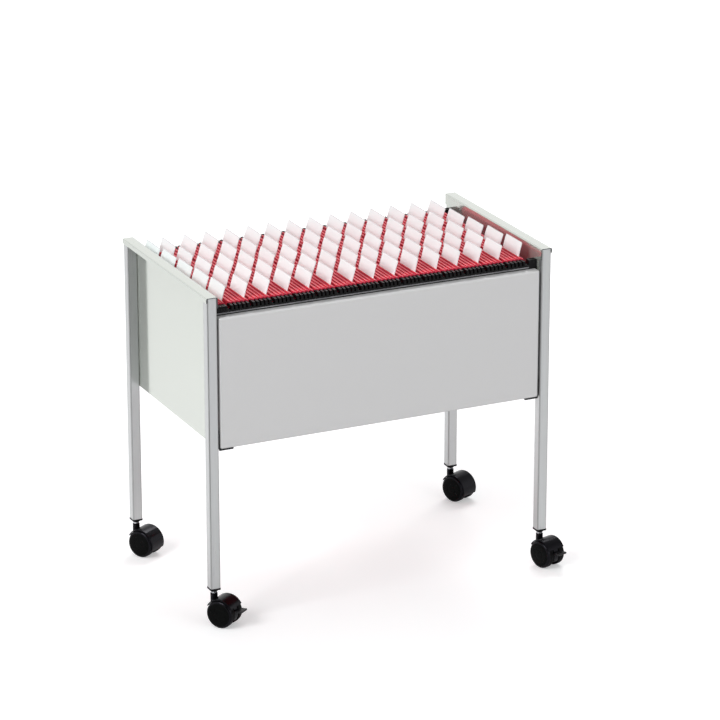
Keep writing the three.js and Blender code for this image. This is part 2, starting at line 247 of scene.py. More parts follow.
pale_lacquer, shade = new_finish("pale_lacquer", {"Metallic": 0.7, "Coat Weight": 0.3,
                                                  "Coat Roughness": 0.04})
flake = shade.noise(2400, 2400, 2400, 2)
shade.feed("Base Color", flake.tint(colour(*panel_pale), colour(*panel_cool)))
shade.feed("Roughness", 0.1 + shade.noise(60, 60, 60, 4) * 0.06)
shade.relief(shade.noise(330, 330, 330, 2), 0.000004)

sheared_steel, shade = new_finish("sheared_steel", {"Metallic": 0.6})
burr = shade.noise(2600, 700, 700, 3)
shade.feed("Base Color", burr.tint(colour(*sheared_grey), colour(*sheared_dark)))
shade.feed("Roughness", 0.35 + burr * 0.3)


def drawn_verts(made):
    """The vertices in what an extrude operator made."""
    return [part for part in made["geom"] if isinstance(part, bmesh.types.BMVert)]


def draw_out(bm, points, along):
    """A sheet drawn out along a vector from a line through the points."""
    verts = [bm.verts.new(point) for point in points]
    edges = [bm.edges.new(pair) for pair in zip(verts, verts[1:])]
    moved = drawn_verts(bmesh.ops.extrude_edge_only(bm, edges=edges))
    bmesh.ops.translate(bm, vec=along, verts=moved)
    bmesh.ops.recalc_face_normals(bm, faces=bm.faces[:])
    bm.normal_update()


def folds_of(bm):
    """The edges at which a sheet is bent."""
    return [edge for edge in bm.edges if len(edge.link_faces) == 2]


def slice_at(bm, point, normal):
    """Cuts all faces along a plane and keeps both sides."""
    geom = bm.verts[:] + bm.edges[:] + bm.faces[:]
    bmesh.ops.bisect_plane(bm, geom=geom, plane_co=point, plane_no=normal)


for side, hand in (("left", 1), ("right", -1)):
    low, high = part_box("end_panel_" + side)
    outer, inner = (low.x, high.x) if hand > 0 else (high.x, low.x)
    bm = bmesh.new()
    draw_out(bm, [(outer, low.y, high.z - lip_drop), (outer, low.y, high.z),
                  (inner, low.y, high.z), (inner, low.y, low.z)], (0, high.y - low.y, 0))
    top = max(bm.faces, key=lambda face: face.calc_center_median().z)
    if top.normal.z < 0:
        bmesh.ops.reverse_faces(bm, faces=bm.faces[:])
    round_edges(bm, folds_of(bm), panel_fold, 6)
    slice_at(bm, (0, 0, high.z - lap_drop), (0, 0, 1))
    slice_at(bm, (0, low.y + web_setback, 0), (0, 1, 0))
    slice_at(bm, (0, high.y - web_setback, 0), (0, 1, 0))
    # below the leg tops the web is cut back at both edges
    spare = []
    for face in bm.faces:
        middle = face.calc_center_median()
        reach = abs(middle.y - (low.y + high.y) / 2)
        if middle.z < high.z - lap_drop and reach > (high.y - low.y) / 2 - web_setback:
            spare.append(face)
    bmesh.ops.delete(bm, geom=spare, context="FACES")
    bmesh.ops.solidify(bm, geom=bm.faces[:], thickness=sheet)
    bm.normal_update()
    for face in bm.faces:
        if abs(face.normal.y) > 0.9:
            face.material_index = 1
    make_piece(bm, "folded_end_" + side, [pale_lacquer, sheared_steel], "cart",
               "end_panel_pale", "end_panel_" + side)

# Front and rear panels
# Shallow trays of the same sheet, bent back on all four edges with soft bends and sprayed a
# satin grey. They sit between the legs, flush with them, with a narrow gap at each side.
tray_bend = 0.0032
tray_grey = (205, 205, 205)
tray_light = (210, 210, 210)

satin_grey, shade = new_finish("satin_grey", {"Metallic": 0.15, "Coat Weight": 0.25,
                                              "Coat Roughness": 0.2})
sprayed = shade.noise(1500, 1500, 1500, 3)
shade.feed("Base Color", sprayed.tint(colour(*tray_grey), colour(*tray_light)))
shade.feed("Roughness", 0.38 + shade.noise(240, 240, 240, 3) * 0.1)
shade.relief(sprayed, 0.000012)

for face_name, back in (("front", 1), ("rear", -1)):
    bm = bmesh.new()
    add_block(bm, *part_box("panel_" + face_name))
    open_back = [face for face in bm.faces if face.normal.y * back > 0.5]
    bmesh.ops.delete(bm, geom=open_back, context="FACES")
    round_edges(bm, folds_of(bm), tray_bend, 6)
    bmesh.ops.solidify(bm, geom=bm.faces[:], thickness=sheet)
    make_piece(bm, "bent_tray_" + face_name, [satin_grey], "cart", "panel_grey",
               "panel_" + face_name)

# Corner brackets
# Bent steel straps, powder coated black: an upright leaf lies on the end panel, and a shelf with
# a turned-down front edge carries the tray's lower corner. A tapered rivet holds each shelf.
strap = 0.0015
strap_bend = 0.002
strap_lip = 0.0018
lip_step = 0.0001
lip_round = 0.9 * strap_lip
rivet_radius = 0.003
rivet_tip = 0.55 * rivet_radius
rivet_height = 0.0011
rivet_drop = 0.4 * rivet_height
powder_black = (24, 24, 26)
powder_grey = (40, 40, 43)

black_powder, shade = new_finish("black_powder", {"Metallic": 0.1})
pebbled = shade.noise(1100, 1100, 1100, 3)
shade.feed("Base Color", pebbled.tint(colour(*powder_black), colour(*powder_grey)))
shade.feed("Roughness", 0.5 + pebbled * 0.2)
shade.relief(pebbled, 0.00004)

for place in places:
    low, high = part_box("bracket_" + place)
    leaf, tip = (low.x, high.x) if "left" in place else (high.x, low.x)
    bm = bmesh.new()
    draw_out(bm, [(leaf, low.y, high.z), (leaf, low.y, low.z), (tip, low.y, low.z)],
             (0, high.y - low.y, 0))
    shelf = min(bm.faces, key=lambda face: face.calc_center_median().z)
    if shelf.normal.z > 0:
        bmesh.ops.reverse_faces(bm, faces=bm.faces[:])
    round_edges(bm, folds_of(bm), strap_bend, 4)
    bmesh.ops.solidify(bm, geom=bm.faces[:], thickness=strap)
    known = set(bm.verts)
    front = low.y - lip_step if "front" in place else high.y - strap + lip_step
    left, right = sorted((leaf, tip))
    add_block(bm, (left + lip_step, front, low.z - strap_lip),
              (right - lip_step, front + strap, low.z + strap / 2))
    lip_ends = [edge for edge in bm.edges if runs_along(edge, 1)
                and edge.verts[0] not in known and edge.verts[0].co.z < low.z]
    round_edges(bm, lip_ends, lip_round, 4)
    rivet = bmesh.ops.create_cone(bm, cap_ends=True, segments=20, radius1=rivet_tip,
                                  radius2=rivet_radius, depth=rivet_height)["verts"]
    shelf_middle = ((leaf + tip) / 2, (low.y + high.y) / 2, low.z - rivet_drop)
    bmesh.ops.translate(bm, vec=shelf_middle, verts=rivet)
    make_piece(bm, "strap_bracket_" + place, [black_powder], "cart", "bracket_black",
               "bracket_" + place)

# File rails
# Black plastic extrusions behind the trays: a flat web with a round bead along its top, on which
# the hooks of the files slide. A fine ridge runs along each face, painted light grey as a
# highlight.
bead_radius = 0.003
rail_web = 0.005
ridge_drop = 0.0048
ridge_height = 0.0026
ridge_reach = 0.0011
ridge_root = 0.001
ridge_setin = 0.0004
rail_black = (4, 4, 5)
rail_soft = (11, 11, 13)
ridge_highlight_light = (176, 176, 178)
ridge_highlight_dark = (128, 128, 131)

rail_plastic, shade = new_finish("rail_plastic", {"Specular IOR Level": 0.18})
pulled = shade.noise(6, 900, 900, 3)
shade.feed("Base Color", pulled.tint(colour(*rail_black), colour(*rail_soft)))
shade.feed("Roughness", 0.2 + pulled * 0.15)
shade.relief(pulled, 0.00001)

# painted highlight: the ridges are coloured light grey to stand for the line of light along the
# rail
ridge_highlight_plastic, shade = new_finish("ridge_highlight_plastic", {"Metallic": 0.3})
pulled = shade.noise(40, 900, 900, 4)
shade.feed("Base Color", pulled.rise(0.3, 0.7).tint(colour(*ridge_highlight_light), colour(*ridge_highlight_dark)))
shade.feed("Roughness", 0.25 + pulled * 0.2)


def extrude_outline(bm, points, along):
    """A solid drawn out along a vector from a closed outline."""
    base = bm.faces.new([bm.verts.new(point) for point in points])
    moved = drawn_verts(bmesh.ops.extrude_face_region(bm, geom=[base]))
    bmesh.ops.translate(bm, vec=along, verts=moved)
    bmesh.ops.recalc_face_normals(bm, faces=bm.faces[:])
    bm.normal_update()


for face_name in ("front", "rear"):
    low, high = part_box("file_rail_" + face_name)
    middle = (low.y + high.y) / 2
    bead = Vector((low.x, middle, high.z - bead_radius))
    neck = math.sqrt(bead_radius ** 2 - (rail_web / 2) ** 2)
    end_on = Matrix.Translation(bead) @ Matrix.Rotation(math.pi / 2, 4, "Y")
    bm = bmesh.new()
    bmesh.ops.create_circle(bm, cap_ends=True, segments=32, radius=bead_radius, matrix=end_on)
    bmesh.ops.bisect_plane(bm, geom=bm.verts[:] + bm.edges[:] + bm.faces[:], clear_inner=True,
                           plane_co=bead - Vector((0, 0, neck)), plane_no=(0, 0, 1))
    seam = min(bm.edges, key=lambda edge: edge.verts[0].co.z + edge.verts[1].co.z)
    for vert in drawn_verts(bmesh.ops.extrude_edge_only(bm, edges=[seam])):
        vert.co.z = low.z
    moved = drawn_verts(bmesh.ops.extrude_face_region(bm, geom=bm.faces[:]))
    bmesh.ops.translate(bm, vec=(high.x - low.x, 0, 0), verts=moved)
    bmesh.ops.recalc_face_normals(bm, faces=bm.faces[:])
    known = set(bm.faces)
    ridge_top = high.z - ridge_drop
    for hand in (1, -1):
        face_y = middle + hand * rail_web / 2
        root, crown = face_y - hand * ridge_root, face_y + hand * ridge_reach
        ridge = [(root, ridge_height), (face_y, ridge_height), (crown, 0.6 * ridge_height),
                 (crown, 0.3 * ridge_height), (face_y, 0), (root, 0)]
        extrude_outline(bm, [(low.x + ridge_setin, y, ridge_top - drop) for y, drop in ridge],
                        (high.x - low.x - 2 * ridge_setin, 0, 0))
    # the ridges take the painted highlight colour
    for face in bm.faces:
        if face not in known:
            face.material_index = 1
    make_piece(bm, "bead_rail_" + face_name, [rail_plastic, ridge_highlight_plastic], "cart",
               "rail_black", "file_rail_" + face_name)

# Rail blocks
# Moulded black blocks at the rails' ends: low keepers behind the left ends, and taller stops
# that close the right ends. Each has rounded edges and a sunk top.
block_round = 0.0012
block_rim = 0.0022
block_rim_share = 0.19
block_sink = 0.0008
moulding_black = (4, 4, 5)
moulding_soft = (13, 13, 15)

black_moulding, shade = new_finish("black_moulding", {"Specular IOR Level": 0.16})
sparked = shade.noise(1700, 1700, 1700, 3)
shade.feed("Base Color", sparked.tint(colour(*moulding_black), colour(*moulding_soft)))
shade.feed("Roughness", 0.26 + sparked * 0.16)
shade.relief(sparked, 0.00002)

for place in places:
    low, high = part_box("rail_block_" + place)
    bm = bmesh.new()
    add_block(bm, low, high)
    round_edges(bm, bm.edges[:], block_round, 3)
    top = max(bm.faces, key=lambda face: face.calc_center_median().z)
    rim = min(block_rim, block_rim_share * (high.y - low.y))
    bmesh.ops.inset_region(bm, faces=[top], thickness=rim, use_even_offset=True)
    bmesh.ops.inset_region(bm, faces=[top], thickness=block_sink / 2, depth=-block_sink,
                           use_even_offset=True)
    make_piece(bm, "end_block_" + place, [black_moulding], "cart", "block_black",
               "rail_block_" + place)

# Leg inserts
# Black nylon plugs pressed into the open leg ends: a square flange closes the tube, and a round
# collar under it takes the caster's stem.
flange_thick = 0.0032
flange_round = 0.0022
flange_edge = 0.0004
collar_radius = 0.0072
collar_bore = 0.0054
collar_height = 0.0026
collar_edge = 0.0006
plug_side = 0.0146
round_steps = 48
sharp_angle = math.radians(60)

for place in places:
    low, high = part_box("leg_insert_" + place)
    middle = (low + high) / 2
    flange_low = low.z + collar_height
    flange_middle = flange_low + flange_thick / 2
    bm = bmesh.new()
    add_block(bm, (low.x, low.y, flange_low), (high.x, high.y, flange_low + flange_thick))
    round_edges(bm, [edge for edge in bm.edges if runs_along(edge, 2)], flange_round, 5)
    rims = [edge for edge in bm.edges if edge.calc_face_angle(0) > sharp_angle]
    round_edges(bm, rims, flange_edge, 2)
    known = set(bm.verts)
    half = plug_side / 2
    add_block(bm, (middle.x - half, middle.y - half, flange_middle),
              (middle.x + half, middle.y + half, high.z))
    corners = [edge for edge in bm.edges if runs_along(edge, 2) and edge.verts[0] not in known]
    round_edges(bm, corners, flange_round, 4)
    collar = [(collar_bore, flange_middle), (collar_bore, low.z + flange_edge),
              (collar_bore + flange_edge, low.z), (collar_radius - collar_edge, low.z),
              (collar_radius, low.z + collar_edge), (collar_radius, flange_middle)]
    ring = [bm.verts.new((middle.x + reach, middle.y, z)) for reach, z in collar]
    loop = [bm.edges.new(pair) for pair in zip(ring, ring[1:] + ring[:1])]
    bmesh.ops.spin(bm, geom=ring + loop, cent=middle, axis=(0, 0, 1), angle=2 * math.pi,
                   steps=round_steps, use_merge=True)
    bmesh.ops.remove_doubles(bm, verts=bm.verts[:], dist=1e-6)
    bmesh.ops.recalc_face_normals(bm, faces=bm.faces[:])
    make_piece(bm, "leg_plug_" + place, [black_moulding], "cart", "insert_black",
               "leg_insert_" + place)

# Caster stems
# Turned steel pins, zinc plated: the lower end is pressed into the caster's neck, a ring carries
# the load, and the shaft above it turns in the leg insert.
stem_radius = 0.004
stem_edge = 0.0005
stem_depth = 0.011
ring_radius = 0.0055
ring_edge = 0.0003
ring_bevel = 0.0005
ring_gap = 0.0004
ring_height = 0.0033
shaft_radius = 0.005
shaft_edge = 0.001
zinc_light = (205, 206, 208)
zinc_dark = (176, 178, 183)

plated_steel, shade = new_finish("plated_steel", {"Metallic": 1.0})
turned = shade.noise(60, 60, 3200, 2)
shade.feed("Base Color", turned.tint(colour(*zinc_light), colour(*zinc_dark)))
shade.feed("Roughness", 0.14 + turned * 0.16)
shade.relief(turned, 0.000008)


def spin_profile(bm, profile, steps):
    """A turned form about Z from (radius, height) points."""
    verts = [bm.verts.new((radius, 0, height)) for radius, height in profile]
    edges = [bm.edges.new(pair) for pair in zip(verts, verts[1:])]
    bmesh.ops.spin(bm, geom=verts + edges, cent=(0, 0, 0), axis=(0, 0, 1), angle=2 * math.pi,
                   steps=steps, use_merge=True)
    bmesh.ops.remove_doubles(bm, verts=bm.verts[:], dist=1e-6)
    bmesh.ops.recalc_face_normals(bm, faces=bm.faces[:])


for place in places:
    low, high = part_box("caster_stem_" + place)
    ring_low = low.z + stem_depth + ring_gap
    ring_top = ring_low + ring_height
    bm = bmesh.new()
    pressed_end = [(0, low.z), (stem_radius - stem_edge, low.z),
                   (stem_radius, low.z + stem_edge), (stem_radius, ring_low)]
    ring = [(ring_radius - ring_edge, ring_low), (ring_radius, ring_low + ring_edge),
            (ring_radius, ring_top - ring_bevel), (ring_radius - ring_bevel, ring_top)]
    shaft = [(shaft_radius, ring_top), (shaft_radius, high.z - shaft_edge),
             (shaft_radius - shaft_edge, high.z), (0, high.z)]
    spin_profile(bm, pressed_end + ring + shaft, round_steps)
    bmesh.ops.translate(bm, vec=((low.x + high.x) / 2, (low.y + high.y) / 2, 0),
                        verts=bm.verts[:])
    make_piece(bm, "turned_stem_" + place, [plated_steel], "swivel_" + place, "stem_steel",
               "caster_stem_" + place)

# Caster housings
# Glossy black nylon mouldings: a hood over both wheels, a web between them with the axle's hub,
# and a round neck for the stem. The front hoods are cut back for the brake pedal and its bearing.
hood_inner = 0.0259
hood_sheet = 0.0016
hood_width = 0.036
hood_edge = 0.0011
hood_corner = 0.3 * hood_edge
hood_rear = math.radians(30)
hood_closed = math.radians(-20)
hood_front = math.radians(152)
hood_steps = 36
web_width = 0.010
web_core = 0.004
web_setin = math.radians(1)
hub_radius = 0.009
hub_width = 0.0124
neck_radius = 0.0063
neck_foot = 0.0158
neck_rise = 0.0308
neck_edge = 0.0006
neck_bore = stem_radius + 0.0004
carrier_radius = 0.0239
carrier_start = math.radians(-30)
carrier_steps = 14
nylon_black = (3, 3, 4)
nylon_soft = (9, 9, 11)
nylon_gloss = (0.86, 0.83, 1.0, 1.0)
joints = {joint["name"]: joint for joint in frame["joints"]}

glossy_nylon, shade = new_finish("glossy_nylon", {"Specular IOR Level": 0.16,
                                                  "Specular Tint": nylon_gloss})
flowed = shade.noise(70, 70, 70, 4)
shade.feed("Base Color", flowed.tint(colour(*nylon_black), colour(*nylon_soft)))
shade.feed("Roughness", 0.14 + flowed * 0.12)
shade.relief(shade.noise(600, 600, 600, 2), 0.000008)


def caster_frame(place):
    """Places a caster's own axes: X from stem to axle, Y along the axle, Z up from the axle."""
    axle = Vector(joints[f"wheel_left_{place}_roll"]["pos_m"])
    across = Vector(joints[f"wheel_left_{place}_roll"]["axis"])
    trail = across.cross(Vector((0, 0, 1)))
    stem = Vector(joints[f"swivel_{place}_turn"]["pos_m"])
    if trail.dot(axle - stem) < 0:
        trail, across = -trail, -across
    turn = Matrix((trail, across, Vector((0, 0, 1)))).transposed().to_4x4()
    return Matrix.Translation(axle) @ turn, (axle - stem).to_2d().length


def spin_face(bm, points, start, end, steps):
    """A closed face of (radius, across) points swept round the axle between two angles."""
    base = bm.faces.new([bm.verts.new((radius, across, 0)) for radius, across in points])
    bmesh.ops.rotate(bm, verts=base.verts, cent=(0, 0, 0),
                     matrix=Matrix.Rotation(-start, 3, "Y"))
    bmesh.ops.spin(bm, geom=[base] + base.edges[:] + base.verts[:], cent=(0, 0, 0),
                   axis=(0, 1, 0), angle=start - end, steps=steps)


def web_section(reach):
    """A section of the web from its core out to a radius."""
    half = web_width / 2
    return [(web_core, -half), (reach, -half), (reach, half), (web_core, half)]


hood_outer = hood_inner + hood_sheet
hood_half = hood_width / 2
hood_side = [(hood_inner, hood_half), (hood_outer - hood_edge, hood_half),
             (hood_outer - hood_corner, hood_half - hood_corner),
             (hood_outer, hood_half - hood_edge)]
hood_section = hood_side + [(radius, -across) for radius, across in reversed(hood_side)]
for place in places:
    caster, trail = caster_frame(place)
    braked = "front" in place
    bm = bmesh.new()
    hood_start = hood_rear if braked else hood_closed
    spin_face(bm, hood_section, hood_start, hood_front, hood_steps)
    spin_face(bm, web_section(hood_inner + hood_sheet / 2), hood_start + web_setin,
              hood_front - web_setin, hood_steps)
    if braked:
        spin_face(bm, web_section(carrier_radius), carrier_start, hood_rear + 4 * web_setin,
                  carrier_steps)
    bmesh.ops.create_cone(bm, cap_ends=True, segments=round_steps, radius1=hub_radius,
                          radius2=hub_radius, depth=hub_width,
                          matrix=Matrix.Rotation(math.pi / 2, 4, "X"))
    known = set(bm.verts)
    spin_profile(bm, [(0, neck_foot), (neck_radius, neck_foot),
                      (neck_radius, neck_rise - neck_edge), (neck_radius - neck_edge, neck_rise),
                      (neck_bore, neck_rise), (neck_bore, neck_rise - stem_depth),
                      (0, neck_rise - stem_depth)], round_steps)
    neck = [vert for vert in bm.verts if vert not in known]
    bmesh.ops.translate(bm, vec=(-trail, 0, 0), verts=neck)
    bmesh.ops.recalc_face_normals(bm, faces=bm.faces[:])
    bmesh.ops.transform(bm, matrix=caster, verts=bm.verts[:])
    make_piece(bm, "hood_housing_" + place, [glossy_nylon], "swivel_" + place, "caster_black",
               "caster_housing_" + place)

# Axles
# Plain steel pins, zinc plated, pressed through the hubs of the housings. The wheels hide them,
# so they are shown as the solids have them.
for place in places:
    axle = frame["nodes"]["caster_axle_" + place]
    axle.data.materials.clear()
    axle.data.materials.append(plated_steel)

# Wheels
# Two moulded black discs on each caster, with a rounded tread, a raised rim round a slightly
# domed face, and a cap over the axle's blind bore.
wheel_inset = 0.0066
wheel_steps = 72
wheel_bore = 0.0034
bore_depth = 0.0104
bore_edge = 0.0003
inner_edge = 0.002
shoulder_start = 0.0094
shoulder_rise = 0.0039
shoulder_reach = 0.0040
tread_wide = 0.0100
rim_band = 0.0042
groove_floor = 0.0130
groove_start = 0.0045
groove_end = 0.0052
disc_edge = 0.0134
disc_start = 0.0058
disc_black = (3, 4, 4)
disc_soft = (8, 9, 9)
tread_black = (4, 4, 5)
tread_soft = (11, 11, 12)

disc_nylon, shade = new_finish("disc_nylon", {"Specular IOR Level": 0.05})
flowed = shade.noise(90, 90, 90, 4)
shade.feed("Base Color", flowed.tint(colour(*disc_black), colour(*disc_soft)))
shade.feed("Roughness", 0.2 + flowed * 0.16)
shade.relief(shade.noise(600, 600, 600, 2), 0.000008)

wheel_tread, shade = new_finish("wheel_tread", {"Specular IOR Level": 0.06})
rolled = shade.noise(420, 420, 420, 4)
shade.feed("Base Color", rolled.tint(colour(*tread_black), colour(*tread_soft)))
shade.feed("Roughness", 0.36 + rolled * 0.22)
shade.relief(rolled, 0.00003)


def quarter_round(middle, reach, rise, start, steps):
    """Points of a quarter round about its middle, from an angle on."""
    angles = [start + math.pi / 2 * step / steps for step in range(steps + 1)]
    return [(middle[0] + reach * math.cos(angle), middle[1] + rise * math.sin(angle))
            for angle in angles]


# the middle of the face, as (radius, height over the inner side) points
dome = [(0.0150, 0.01375), (0.0096, 0.01385)]
cap_groove = [(0.0090, 0.0136), (0.0084, 0.0136)]
cap = [(0.0078, 0.0139), (0.0050, 0.01398), (0, 0.0140)]
for place in places:
    caster = caster_frame(place)[0]
    radius = caster.translation.z
    blind_bore = [(0, bore_depth), (wheel_bore, bore_depth), (wheel_bore, bore_edge),
                  (wheel_bore + bore_edge, 0)]
    inner_round = quarter_round((radius - inner_edge, inner_edge), inner_edge, inner_edge,
                                -math.pi / 2, 2)
    shoulder = quarter_round((radius - shoulder_reach, shoulder_start), shoulder_reach,
                             shoulder_rise, 0, 4)
    groove = [(radius - groove_start, groove_floor), (radius - groove_end, groove_floor),
              (radius - disc_start, disc_edge)]
    wheel_profile = blind_bore + inner_round + shoulder + groove + dome + cap_groove + cap
    for hand, turn in (("left", -math.pi / 2), ("right", math.pi / 2)):
        bm = bmesh.new()
        spin_profile(bm, wheel_profile, wheel_steps)
        for face in bm.faces:
            middle = face.calc_center_median()
            if middle.to_2d().length > radius - rim_band:
                face.material_index = 1 if middle.z < tread_wide else 2
        bmesh.ops.translate(bm, vec=(0, 0, wheel_inset), verts=bm.verts[:])
        placed = caster @ Matrix.Rotation(turn, 4, "X")
        bmesh.ops.transform(bm, matrix=placed, verts=bm.verts[:])
        name = f"{hand}_{place}"
        make_piece(bm, "disc_wheel_" + name, [disc_nylon, wheel_tread, glossy_nylon],
                   "wheel_" + name, "wheel_black", "caster_wheel_" + name)

# Brake pedals
# Moulded levers on the two front casters: a round knuckle in the housing's bearing, an arm
# between the wheels, and a broad ribbed tread behind them.
pivot_reach = 0.0185
pivot_angle = math.radians(20)
knuckle_radius = 0.0034
knuckle_setin = 0.0002
arm_thick = 0.0034
arm_width = 0.008
arm_edge = 0.0006
arm_rise = math.radians(5)
tread_gap = 0.0027
tread_overlap = 0.001
tread_length = 0.011
tread_width = 0.020
tread_thick = 0.0036
tread_round = 0.0012
rib_count = 4
rib_thick = 0.001
rib_root = 0.0004
rib_height = 0.0004
rib_margin = 0.0025
lever_black = (12, 12, 13)
lever_soft = (26, 26, 28)

polished_nylon, shade = new_finish("polished_nylon", {"Specular IOR Level": 0.3})
worn = shade.noise(500, 500, 500, 3)
shade.feed("Base Color", worn.tint(colour(*lever_black), colour(*lever_soft)))
shade.feed("Roughness", 0.12 + worn * 0.15)

for place in ("front_left", "front_right"):
    caster = caster_frame(place)[0]
    pivot = Vector((math.cos(pivot_angle), 0, math.sin(pivot_angle))) * pivot_reach
    reach = caster.translation.z + tread_gap + tread_overlap - pivot.x
    tread_half, tread_top = tread_width / 2, tread_thick / 2
    bm = bmesh.new()
    add_block(bm, (reach - tread_overlap, -tread_half, -tread_top),
              (reach + tread_length, tread_half, tread_top))
    round_edges(bm, bm.edges[:], tread_round, 4)
    for rib in range(rib_count):
        x = reach + tread_length * (rib + 0.7) / rib_count
        add_block(bm, (x - rib_thick / 2, rib_margin - tread_half, tread_top - rib_root),
                  (x + rib_thick / 2, tread_half - rib_margin, tread_top + rib_height))
    known = set(bm.verts)
    add_block(bm, (0, -arm_width / 2, -arm_thick / 2), (reach, arm_width / 2, arm_thick / 2))
    arm_edges = [edge for edge in bm.edges if runs_along(edge, 0)
                 and edge.verts[0] not in known]
    round_edges(bm, arm_edges, arm_edge, 2)
    bmesh.ops.create_cone(bm, cap_ends=True, segments=32, radius1=knuckle_radius,
                          radius2=knuckle_radius, depth=arm_width - 2 * knuckle_setin,
                          matrix=Matrix.Rotation(math.pi / 2, 4, "X"))
    raised = caster @ Matrix.Translation(pivot) @ Matrix.Rotation(-arm_rise, 4, "Y")
    bmesh.ops.transform(bm, matrix=raised, verts=bm.verts[:])
    make_piece(bm, "brake_lever_" + place, [polished_nylon], "pedal_" + place, "pedal_black",
               "brake_pedal_" + place)

# Hanging files
# Red manila cards, each folded round a steel bar at its top, hung by black plastic hooks on the
# rails and marked by a white index tab in a sleeve. They hang in bundles of five, tabs stepped.
bundles = 15
files_in_bundle = 5
bundle_half = 0.0152
wall_half = 0.0104
file_pitch = 0.0074
wall_pitch = 0.0047
file_slack = 0.0002
card_end_gap = 0.007
card_head = 0.0010
card_head_round = 0.42 * card_head
card_head_drop = 0.009
card_waist = 0.0008
card_waist_drop = 1.25 * card_head_drop
card_belly = 0.0013
card_belly_drop = 0.06
card_shoulder = 0.0014
card_foot = 0.012
shoulder_gap = 0.0015
shoulder_round = 0.0005
card_red = (216, 12, 66)
card_deep = (203, 8, 58)
# a light orange red painted along the folds as a highlight
card_fold_highlight = (240, 92, 94)
tab_rise = 0.024
tab_root = 0.004
tab_sheet = 0.0007
tab_gap = 0.0006
tab_margin = 0.0074
tab_round = 0.0028
tab_sag = 0.0005
tab_border = 0.0011
tab_slip = 0.0012
tab_lean = math.radians(19)
outer_lean = math.radians(17)
lean_spread = math.radians(4.5)
paper_white = (250, 255, 255)
paper_shade = (246, 252, 252)
sleeve_light = (234, 236, 237)
# the border's greys are partly the sleeve's own tint and partly painted shade along the tab edges
sleeve_edge_shade = (226, 228, 229)
hook_width = 0.0044
hook_rise = 0.0062
hook_nose = 0.002
hook_drop = 0.0016
hook_root = 0.005
hook_edge = 0.00035
hook_play = 0.001
seat_gap = 0.0001
chance = random.Random(5)

red_card, shade = new_finish("red_card", {"Sheen Weight": 0.15, "Sheen Roughness": 0.4})
fibre = shade.noise(700, 260, 700, 4)
batch = shade.noise(230, 0.6, 0.6, 1).rise(0.35, 0.65)
bar_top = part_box("file_bundle_01")[1].z - tab_rise
# painted highlight: a light band along the fold over the bar, and the cards lighter towards their
# tops as painted light
fold_highlight = shade.height().rise(bar_top - 0.0016, bar_top - 0.0002)
top_highlight = shade.height().rise(bar_top - 0.012, bar_top - 0.002) * 0.35
body_red = (batch * 0.55 + fibre * 0.45).tint(colour(*card_red), colour(*card_deep))
shade.feed("Base Color", (fold_highlight * 0.55 + top_highlight * 0.3).tint(body_red, colour(*card_fold_highlight)))
shade.feed("Roughness", 0.5 + fibre * 0.2 - fold_highlight * 0.12)
shade.relief(fibre, 0.00003)

tab_paper, shade = new_finish("tab_paper", {"Coat Weight": 0.1, "Coat Roughness": 0.2})
pulp = shade.noise(1200, 1200, 1200, 4)
shade.feed("Base Color", pulp.tint(colour(*paper_white), colour(*paper_shade)))
shade.feed("Roughness", 0.4 + pulp * 0.15)

# the sleeve's border round the paper: its own grey tint, and painted shade for the faint line
# along each tab's edge
tab_sleeve_and_edge_shade, shade = new_finish("tab_sleeve_and_edge_shade", {"Coat Weight": 0.3, "Coat Roughness": 0.1})
streaked = shade.noise(300, 300, 900, 2)
shade.feed("Base Color", streaked.tint(colour(*sleeve_light), colour(*sleeve_edge_shade)))
shade.feed("Roughness", 0.12 + streaked * 0.1)


def store_form(bm, name):
    """A bmesh as a mesh that isn't shown, to be stamped later."""
    form = bpy.data.meshes.new(name)
    bm.to_mesh(form)
    bm.free()
    return form


def stamp(bm, form, placed):
    """Adds a copy of a stored form to a bmesh, moved by a matrix."""
    known = len(bm.verts)
    bm.from_mesh(form)
    bm.verts.ensure_lookup_table()
    bmesh.ops.transform(bm, matrix=placed, verts=bm.verts[known:])


low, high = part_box("file_bundle_01")
files_middle = (low.y + high.y) / 2
rail_low, rail_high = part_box("file_rail_rear")
card_half = (rail_low.y + rail_high.y) / 2 - files_middle - bead_radius - card_end_gap
card_height = bar_top - low.z


def make_card(pitch):
    """A card with the middle of its bar at the origin. Its left leaf hangs straight, and its
    right one is spread towards the next card by what is filed in it."""
    spread = pitch - shoulder_gap
    left = [(-card_head, 0.0), (-card_head, -card_head_drop), (-card_waist, -card_waist_drop),
            (-card_belly, -card_belly_drop), (-card_belly, card_foot - card_height),
            (0.0, -card_height)]
    right = [(spread, card_foot - card_height), (spread, -2 * card_shoulder),
             (spread - shoulder_round, -1.3 * card_shoulder), (card_head, -card_shoulder),
             (card_head, 0.0)]
    bm = bmesh.new()
    extrude_outline(bm, [(x, -card_half, z) for x, z in left + right], (0, 2 * card_half, 0))
    heads = [edge for edge in bm.edges if runs_along(edge, 1)
             and edge.verts[0].co.z > -card_head_round]
    round_edges(bm, heads, card_head_round, 2)
    return store_form(bm, f"card_form_{round(pitch * 1e4)}")


card_forms = {pitch: make_card(pitch) for pitch in (file_pitch, wall_pitch)}

# one hook for the rear end, with the end of its card at the origin
seat = rail_high.z - bar_top + seat_gap
hook_top = seat + hook_rise
nose_start = card_end_gap + 2 * bead_radius + hook_play
nose_end = nose_start + hook_nose
hook_outline = [(-hook_root, seat), (nose_start, seat), (nose_start, seat - hook_drop),
                (nose_end, seat - hook_drop), (nose_end, hook_top - hook_nose),
                (nose_start, hook_top), (0.0, hook_top), (-hook_root, seat + 0.8 * hook_rise)]
bm = bmesh.new()
extrude_outline(bm, [(-hook_width / 2, y, z) for y, z in hook_outline], (hook_width, 0, 0))
hook_edges = [edge for edge in bm.edges if not runs_along(edge, 0)
              and edge.calc_face_angle(0) > sharp_angle]
round_edges(bm, hook_edges, hook_edge, 1)
hook_form = store_form(bm, "hook_form")

